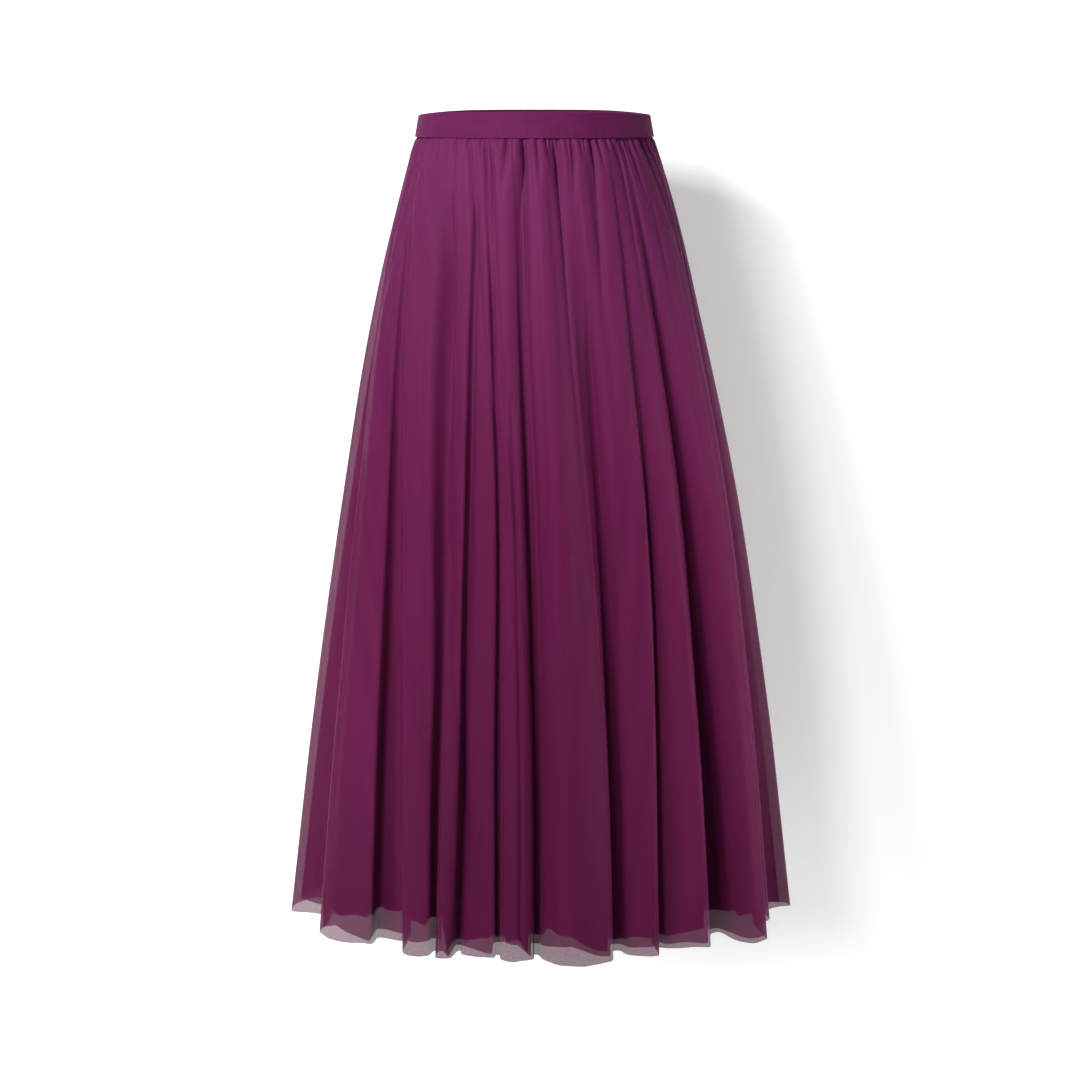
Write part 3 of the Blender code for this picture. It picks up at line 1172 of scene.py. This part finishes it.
    def gathers(self) -> np.ndarray:
        """Lay the listed gathers, the puckers under the band and the puff there.

        Returns:
            Their height at every point, rows by columns.
        """
        drawn_in = np.interp(self.drops, [-TUCKED_UP, 0.0, 12.0], [0.0, 0.35, 1.0])
        stitched = np.interp(self.drops, [-TUCKED_UP, 0.0], [0.0, 1.0])
        spread = widened(np.clip(self.drops / self.gather_widening, 0.0, 1.0))
        total = np.zeros_like(self.around)
        for gather in GATHERS:
            opened = drawn_in
            if gather.begin:
                opened = np.clip((self.drops - gather.begin) / self.gather_opening, 0.0, 1.0)
            total += self.trough(gather, opened, spread)
        for pucker in self.puckers.row(FOLDS[0].waist_from):
            total += self.trough(pucker, stitched, np.ones_like(self.drops))
        below = np.maximum(self.drops, 0.0)
        puff = self.puff * (1.0 - np.exp(-below / self.puff_rise)) * np.exp(-below / self.puff_fall)
        return total + puff[:, None]

    def creases(self) -> np.ndarray:
        """Lay the listed creases, each inside its fold.

        Returns:
            Their height at every point, rows by columns.
        """
        total = np.zeros_like(self.around)
        for crease in CREASES:
            left, right = (
                self.around[:, self.corner_column[corner_of(crease.fold, edge)]]
                for edge in (Corner.LEFT_EDGE, Corner.RIGHT_EDGE)
            )
            across = crease.at_top + (crease.at_hem - crease.at_top) * self.share
            centre = left + across * (right - left)
            off = shorter_way(self.around - centre[:, None], self.girth[:, None])
            run_in = (self.drops - crease.start_drop) / self.crease_run
            run_out = (crease.end_drop + self.crease_run - self.drops) / (2.0 * self.crease_run)
            stands = eased(np.clip(run_in, 0.0, 1.0) * np.clip(run_out, 0.0, 1.0))
            width = crease.width * widened(self.share)
            total += ridge(off, width[:, None], crease.height * stands)
        return total

    def ripples(self) -> np.ndarray:
        """Lay the small long ripples that stripe the net with light, the same each time.

        Returns:
            Their height at every point, rows by columns.
        """
        limits = self.ripple_limits
        random = np.random.default_rng(self.layer.seed)
        hem = np.broadcast_to(self.around[-1], self.around.shape)
        flattened = np.clip(self.share / limits.full_from, limits.flattest, 1.0)
        total = np.zeros_like(self.around)
        for _ in range(limits.count):
            start, length = random.uniform(*limits.start), random.uniform(*limits.length)
            runs = 1.0 - np.abs((self.share - start - length / 2) / (length / 2))
            height = self.layer.ripple * random.uniform(*limits.height) * random.choice([-1.0, 1.0])
            height = height * flattened * eased(np.clip(runs, 0, 1))
            centre = random.uniform(0.0, self.girth[-1]) + random.normal(0.0, limits.stray) * self.share
            off = shorter_way(hem - centre[:, None], self.girth[-1])
            total += ridge(off, random.uniform(*limits.width), height)
        return total

    def across_folds(self, values: list[float]) -> np.ndarray:
        """Spread one value for each corner over the columns between.

        Args:
            values: A value for each corner, in order.

        Returns:
            A value for each column.
        """
        hem = self.around[-1]
        at = [hem[column] for column in self.corner_column]
        return np.interp(hem, at, values, period=self.girth[-1])

    def seam_columns(self) -> tuple[int, int]:
        """Give the columns where the left and the right side seams run.

        Returns:
            The left seam's column and the right seam's.
        """
        found = []
        for name in (LEFT_SEAM_FOLD, RIGHT_SEAM_FOLD):
            crest = corner_of(name, Corner.CREST)
            found.append((self.corner_column[crest] + self.corner_column[crest + 1]) // 2)
        return found[0], found[1]


@dataclass
class ClothLayer:
    """One layer of the skirt: its front and back panels, cut to length and sewn."""

    form: SkirtForm
    finish: SoftTulle | PolyesterLining
    hem_turn_up: float = 8.0      # the lining's hem, folded up inside
    fold_inset: float = 0.3       # how far further in each thickness of that fold lies
    waves: int = 5                # long waves that keep every cut edge from running dead level
    wave_height: tuple[float, float] = (0.25, 0.6)
    wave_length: tuple[float, float] = (30, 90)
    frill_length: float = 9.0     # between one frill of the lining's edge and the next
    frill_height: float = 0.8
    frill_shares: tuple[float, ...] = (0.5, 0.4, 0.6, 1.0, 1.0)   # most of it in the valleys

    def waved_edge(self, random: np.random.Generator) -> np.ndarray:
        """Give the slight waves of a cut edge.

        Args:
            random: Where the waves' sizes are drawn from.

        Returns:
            A height for each column.
        """
        total = 0.0
        for _ in range(self.waves):
            height, length = random.uniform(*self.wave_height), random.uniform(*self.wave_length)
            phase = random.uniform(0, 6)
            total = total + height * np.sin(2 * math.pi * self.form.around[-1] / length + phase)
        return total

    def hem_lift(self) -> np.ndarray:
        """Give how much shorter the cloth hangs at each column than its own length.

        Returns:
            A height for each column.
        """
        layer, form = self.form.layer, self.form
        random = np.random.default_rng(layer.seed + 1)
        lift = self.waved_edge(random)
        if layer.is_outermost:
            return lift
        lifts, teeth = [], []
        for index, fold in enumerate(FOLDS):
            row = HEM_LIFTS[fold.name]
            after = HEM_LIFTS[FOLDS[(index + 1) % len(FOLDS)].name]
            if layer.is_lining:
                left, crest, right = row.lining_left, row.lining_crest, row.lining_right
                following = after.lining_left
            else:
                left, crest, right = row.net_left, row.net_crest, row.net_right
                following = after.net_left
            middle = (right + following) / 2.0
            lifts += [left, crest, right, middle, middle]
            teeth += [row.teeth * share for share in self.frill_shares]
        lift = form.across_folds(lifts) + lift
        if layer.is_lining:
            hem = form.around[-1]
            knots = np.arange(0.0, hem[-1] + 2.0 * self.frill_length, self.frill_length)
            frill = smooth_curve(hem, knots, random.normal(0.0, self.frill_height, len(knots)))
            lift = lift + form.across_folds(teeth) * frill
        return lift

    def cut(self, drops: np.ndarray, inset: float = 0.0) -> np.ndarray:
        """Read the form at a drop of its own for every point.

        Args:
            drops: Drops, rows by columns, in millimetres.
            inset: How far further in to lie.

        Returns:
            Rows by columns by three, in metres.
        """
        form = self.form
        plan = form.ring - outward(form.ring) * inset
        row = np.interp(drops, form.drops, np.arange(form.rows))
        upper = np.minimum(row.astype(int), form.rows - 2)
        share = (row - upper)[..., None]
        column = np.broadcast_to(np.arange(drops.shape[1]), drops.shape)
        flat = plan[upper, column] * (1 - share) + plan[upper + 1, column] * share
        height = -BAND_HEIGHT / 2.0 - drops
        return np.concatenate([flat, height[..., None]], axis=-1) * MM

    def panels(self) -> dict[Side, bpy.types.Object]:
        """Cut the two panels and hang them, a seam's gap apart.

        Returns:
            The panels by side.
        """
        form, layer = self.form, self.form.layer
        reach = np.minimum(layer.length - self.hem_lift(), SKIRT_LENGTH)
        down = (form.drops / SKIRT_LENGTH)[:, None]
        drops = GAP + down * (reach - GAP)[None, :]
        points = self.cut(drops)
        if layer.is_lining:
            turned = np.stack([reach, reach - self.hem_turn_up])
            fold = [
                self.cut(turned[:1], self.fold_inset), self.cut(turned[1:], 2.0 * self.fold_inset)
            ]
            points = np.concatenate([points, *fold])
            drops = np.concatenate([drops, turned + [[self.fold_inset], [2 * self.hem_turn_up]]])
        left, right = form.seam_columns()
        columns = points.shape[1]
        spans = {
            Side.FRONT: np.arange(left, right + 1),
            Side.BACK: np.arange(right, left + columns + 1) % columns,
        }
        material = self.finish.material()
        return {
            side: self.hang(f"{layer.name}_{side.value}", points[:, span], drops[:, span], material)
            for side, span in spans.items()
        }

    def hang(
        self, name: str, points: np.ndarray, drops: np.ndarray, material: bpy.types.Material
    ) -> bpy.types.Object:
        """Make one panel, clear of the other at both seams, and put it in its node's place.

        Args:
            name: The CAD node that the panel replaces.
            points: Rows by columns by three, in metres.
            drops: The cloth's own length down to each point, in millimetres.
            material: The cloth's finish.

        Returns:
            The panel.
        """
        panel = points.copy()
        for end, inner in ((0, 1), (-1, -2)):
            step = panel[:, inner] - panel[:, end]
            size = np.maximum(np.linalg.norm(step, axis=-1, keepdims=True), 1e-9)
            panel[:, end] += step / size * (GAP / 2.0 * MM)
        steps = np.linalg.norm(np.diff(panel, axis=1), axis=-1)
        across = np.concatenate([np.zeros((len(panel), 1)), np.cumsum(steps, axis=1)], axis=1)
        across -= across[:, -1:] / 2.0
        places = np.stack([across, -drops * MM], axis=-1)
        made = grid_object(f"{name}_cloth", panel, places, False, material)
        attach(made, "root")
        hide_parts(name)
        hem = steps[self.form.rows - 1].sum() / MM
        log.info("%s: %d faces, hem %.0f mm", name, len(made.data.polygons), hem)
        return made


@dataclass(frozen=True)
class PanelCut:
    """The flat cut of one panel in metres: flared, and gathered into the band at its top."""

    top: float
    hem: float
    length: float

    def declare(self, panel: bpy.types.Object) -> None:
        """Do nothing with the panel: the cut's sizes are only kept here.

        Args:
            panel: The panel as it hangs; not used.
        """


@dataclass
class Waistband:
    """The covered elastic: one closed ring with a rolled upper edge."""

    columns: int = 540
    face_rows: int = 14
    roll_rows: int = 12
    foot_rows: int = 4
    foot_radius: float = 0.4
    pucker: float = 0.28          # the cover is drawn in a little over the gathers below it
    pucker_height: float = 7.0
    pucker_spacings: tuple[float, ...] = (5.3, 6.9, 8.8, 11.7)
    pucker_seed: int = 5
    unevenness: float = 0.12      # the ring is not quite an even oval
    squareness: float = 4.2       # the top edge runs level, then falls away at the two sides

    def profile(self) -> np.ndarray:
        """Give the ring's cut from its foot over the top to the inside.

        Returns:
            Rows of height above the middle and distance in from the outer face.
        """
        half = BAND_HEIGHT / 2.0
        foot, depth = self.foot_radius, BAND_THICKNESS / 2.0
        low, high = -half + foot, half - BAND_EDGE
        turn = np.linspace(0.0, math.pi / 2.0, self.foot_rows + 1)
        outer_foot = np.stack([-half + foot * (1 - np.sin(turn)), foot * (1 - np.cos(turn))], -1)[::-1]
        face = np.stack([np.linspace(low, high, self.face_rows), np.zeros(self.face_rows)], -1)
        over = np.linspace(0.0, math.pi, self.roll_rows + 1)
        roll = np.stack([high + BAND_EDGE * np.sin(over), depth * (1 - np.cos(over))], -1)
        inside = face[::-1] + [0.0, BAND_THICKNESS]
        inner_foot = outer_foot[::-1] * [1.0, -1.0] + [0.0, BAND_THICKNESS]
        return np.concatenate(
            [outer_foot[:-1], face[:-1], roll, inside[1:], inner_foot[1:], outer_foot[:1]]
        )

    def swell(self, angles: np.ndarray, height: np.ndarray, radius: float) -> np.ndarray:
        """Give how far the outer face stands out from a plain oval.

        Args:
            angles: Each column's angle, in radians.
            height: Each row's height above the middle.
            radius: The band's mean radius.

        Returns:
            The distance at every point, rows by columns.
        """
        random = np.random.default_rng(self.pucker_seed)
        place = angles * radius
        drawn = sum(
            random.uniform(0.5, 1.0) * np.sin(place * 2 * math.pi / spacing + random.uniform(0, 6))
            for spacing in self.pucker_spacings
        )
        near_foot = np.exp(-(((height + BAND_HEIGHT / 2.0) / self.pucker_height) ** 2))
        return self.pucker / 2.0 * drawn * near_foot + self.unevenness * np.sin(3 * angles + 1.0)

    def ring(self, profile: np.ndarray, radius: float) -> np.ndarray:
        """Run the cut round the waist, its top level in front and falling at the sides.

        Args:
            profile: The cut, as profile() gives it.
            radius: The band's mean radius.

        Returns:
            Rows by columns by three, in metres.
        """
        angles = np.radians(np.linspace(-180.0, 180.0, self.columns, endpoint=False))[None, :]
        height, inset = (value[:, None] for value in profile.T)
        share = (height + BAND_HEIGHT / 2.0) / BAND_HEIGHT
        wide = SECTIONS[0].half_width - BAND_TAPER * share
        deep = wide * DEPTH_RATIO
        sine, cosine = np.sin(angles), np.cos(angles)
        crown = np.where(cosine > 0.0, BAND_FRONT_RISE, BAND_BACK_RISE)
        rise = crown - (crown + BAND_SIDE_DIP) * np.abs(sine) ** self.squareness
        normal = unit(np.stack([sine / wide, -cosine / deep], axis=-1))
        on_outside = inset < BAND_THICKNESS / 2.0
        out = self.swell(angles, height, radius) * on_outside - inset
        flat = np.stack([wide * sine, -deep * cosine], axis=-1) + normal * out[..., None]
        top = height + rise * np.maximum(0.0, share) ** 2
        return np.concatenate([flat, top[..., None]], axis=-1) * MM

    def build(self) -> bpy.types.Object:
        """Build the band and put it in its node's place.

        Returns:
            The band.
        """
        profile = self.profile()
        radius = (SECTIONS[0].half_width * (1.0 + DEPTH_RATIO)) / 2.0
        points = self.ring(profile, radius)
        girth = 2 * math.pi * radius * MM
        up = np.cumsum(np.concatenate([[0.0], np.hypot(*np.diff(profile, axis=0).T)])) * MM
        grid = (len(points), self.columns + 1)
        across = np.broadcast_to(np.linspace(0.0, 1.0, grid[1]), grid) * girth
        places = np.stack([across, np.broadcast_to(up[:, None], grid)], axis=-1)
        finish = KnitOverElastic().material()
        band = grid_object("waistband_cover", points[::-1], places[::-1], True, finish)
        self.close(band)
        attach(band, "root")
        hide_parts("waistband")
        log.info("waistband: %d faces, %.0f mm round", len(band.data.polygons), girth / MM)
        return band

    def close(self, band: bpy.types.Object) -> None:
        """Join the first and last rows of the ring, which lie in one place.

        Args:
            band: The band, still open along one line at its foot.
        """
        work = bmesh.new()
        work.from_mesh(band.data)
        bmesh.ops.remove_doubles(work, verts=work.verts, dist=1e-6)
        work.to_mesh(band.data)
        work.free()


@dataclass(frozen=True)
class SoftLight:
    """A rectangular lamp that faces a point: metres, watts and degrees."""

    name: str
    place: tuple[float, float, float]
    target: tuple[float, float, float]
    size: tuple[float, float]
    power: float
    spread: float = 180.0         # how wide its beam opens; a grid narrows it

    def hang(self) -> None:
        """Hang the lamp in its place."""
        light = bpy.data.lights.new(self.name, "AREA")
        light.shape = "RECTANGLE"
        light.size, light.size_y = self.size
        light.energy = self.power
        light.spread = math.radians(self.spread)
        lamp = bpy.data.objects.new(self.name, light)
        lamp.location = self.place
        facing = Vector(self.target) - Vector(self.place)
        lamp.rotation_euler = facing.to_track_quat("-Z", "Y").to_euler()
        bpy.context.collection.objects.link(lamp)


LIGHTS = (
    SoftLight("key", (-0.7, -2.6, -0.05), (0.0, 0.0, -0.4), (0.45, 0.45), 29.5),
    SoftLight("top", (-0.4, -0.74, 0.3), (0.0, -0.06, -0.16), (0.22, 0.22), 14.5),
    SoftLight("side", (-1.75, -2.1, -0.1), (0.0, 0.0, -0.4), (0.3, 0.3), 7.6),
    SoftLight("left_rim", (-1.5, 0.0, -0.45), (0.0, 0.0, -0.45), (0.6, 0.8), 1.2),
    SoftLight("left_grid", (-1.2, -0.9, -0.62), (-0.27, 0.0, -0.62), (0.12, 0.5), 0.5, 28.0),
    SoftLight("right_side", (1.5, 0.02, -0.4), (0.2, 0.0, -0.4), (0.15, 0.9), 1.2, 70.0),
    SoftLight("right_grid", (1.4, -0.6, -0.5), (0.14, -0.06, -0.5), (0.12, 0.7), 0.7, 20.0),
)


@dataclass(frozen=True)
class Studio:
    """A pale floor and backdrop, soft lamps, most of the light from the left, and the camera."""

    wall_behind: float = 0.25     # metres behind the skirt's middle
    floor_below: float = 0.45     # metres below the hem
    extent: float = 6.0
    wall_glow: float = 0.31       # the wall's paper is lit from behind too
    room_light: float = 0.19
    lens: float = 92.8            # mm, on a sensor of the width below
    sensor: float = 36.0
    camera_place: tuple[float, float, float] = (0.0057, -2.9, 0.03)
    camera_tilt: float = 9.08     # degrees below level

    def paper(self, name: str, glow: float) -> bpy.types.Material:
        """Make white background paper, seen only from its front.

        Args:
            name: The material's name.
            glow: How much light comes through it from behind.

        Returns:
            The material.
        """
        material, tree = new_material(name)
        shader = add_node(
            tree, "ShaderNodeBsdfPrincipled",
            values={
                "Base Color": (*linear("#f2f2f2"), 1.0),
                "Roughness": 0.9, "Specular IOR Level": 0.1,
                "Emission Color": (1.0, 1.0, 1.0, 1.0), "Emission Strength": glow,
            },
        )
        clear = add_node(tree, "ShaderNodeBsdfTransparent")
        side = add_node(tree, "ShaderNodeNewGeometry")
        seen = add_node(
            tree, "ShaderNodeMixShader",
            links={0: side.outputs["Backfacing"], 1: shader.outputs[0], 2: clear.outputs[0]},
        )
        add_node(tree, "ShaderNodeOutputMaterial", links={"Surface": seen.outputs[0]})
        return material

    def build(self, low: Vector) -> None:
        """Set the stage round the skirt.

        Args:
            low: The lowest corner of the skirt's box.
        """
        floor_height = low.z - self.floor_below
        self.plane(
            "studio_floor", self.paper("floor_paper", 0.0),
            [(-1, -1, 0), (1, -1, 0), (1, 1, 0), (-1, 1, 0)], Vector((0, 0, floor_height)),
        )
        self.plane(
            "studio_wall", self.paper("wall_paper", self.wall_glow),
            [(-1, 0, -1), (1, 0, -1), (1, 0, 1), (-1, 0, 1)],
            Vector((0, self.wall_behind, floor_height + self.extent)),
        )
        self.world()
        for light in LIGHTS:
            light.hang()
        self.camera()

    def plane(
        self, name: str, material: bpy.types.Material, corners: list, centre: Vector
    ) -> None:
        """Add one flat sheet of paper to the stage.

        Args:
            name: The sheet's name.
            material: Its paper.
            corners: Its four corners, 1 being half its width.
            centre: Its middle, in metres.
        """
        mesh = bpy.data.meshes.new(name)
        mesh.from_pydata([centre + Vector(c) * self.extent for c in corners], [], [(0, 1, 2, 3)])
        mesh.materials.append(material)
        sheet = bpy.data.objects.new(name, mesh)
        bpy.context.collection.objects.link(sheet)
        sheet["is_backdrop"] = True

    def world(self) -> None:
        """Light the room evenly and softly."""
        world = bpy.data.worlds.new("studio")
        bpy.context.scene.world = world
        world.use_nodes = True
        background = world.node_tree.nodes["Background"]
        background.inputs["Color"].default_value = (1.0, 1.0, 1.0, 1.0)
        background.inputs["Strength"].default_value = self.room_light

    def camera(self) -> None:
        """Set the camera: in front, a little above the waist and looking slightly down."""
        data = bpy.data.cameras.new("camera")
        data.lens = self.lens
        data.sensor_width = self.sensor
        camera = bpy.data.objects.new("camera", data)
        camera.location = self.camera_place
        camera.rotation_euler = (math.radians(90.0 - self.camera_tilt), 0.0, 0.0)
        bpy.context.collection.objects.link(camera)
        scene = bpy.context.scene
        scene.camera = camera
        scene.view_settings.view_transform = "Standard"
        scene.cycles.transparent_max_bounces = 32


def main() -> None:
    """Build the skirt's pieces in order, then the studio round it."""
    logging.basicConfig(level=logging.INFO, format="%(name)s: %(message)s")
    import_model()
    cad_low, cad_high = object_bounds()
    Waistband().build()
    pitch = WALL + GAP
    outer = Layer(
        "outer_tulle", "tulle_outer", depth=0.5 * WALL, ease=0.0, length=SKIRT_LENGTH,
        ripple=0.42, seed=31, is_outermost=True,
    )
    inner = Layer(
        "inner_tulle", "tulle_inner", depth=0.5 * WALL + pitch, ease=1.6,
        length=SKIRT_LENGTH - INNER_NET_SHORTER, ripple=0.42, seed=47,
        left_ease=9.0, right_ease=10.0,
    )
    lining = Layer(
        "lining", "lining_cloth", depth=0.5 * WALL + 2.0 * pitch, ease=3.0,
        length=SKIRT_LENGTH - LINING_SHORTER, ripple=0.3, seed=63,
        left_ease=12.0, right_ease=17.0, is_lining=True,
    )
    for layer, finish, front_cut, back_cut in (
        (outer, SoftTulle("outer_soft_tulle"), PanelCut(0.52, 1.12, 0.83), PanelCut(0.50, 0.99, 0.83)),
        (inner, SoftTulle("inner_soft_tulle"), PanelCut(0.52, 1.11, 0.82), PanelCut(0.50, 0.98, 0.82)),
        (lining, PolyesterLining(), PanelCut(0.41, 1.06, 0.81), PanelCut(0.40, 0.93, 0.81)),
    ):
        form = SkirtForm(layer)
        form.build()
        panels = ClothLayer(form, finish).panels()
        front_cut.declare(panels[Side.FRONT])
        back_cut.declare(panels[Side.BACK])
    Studio().build(cad_low)


if __name__ == "__main__":
    main()
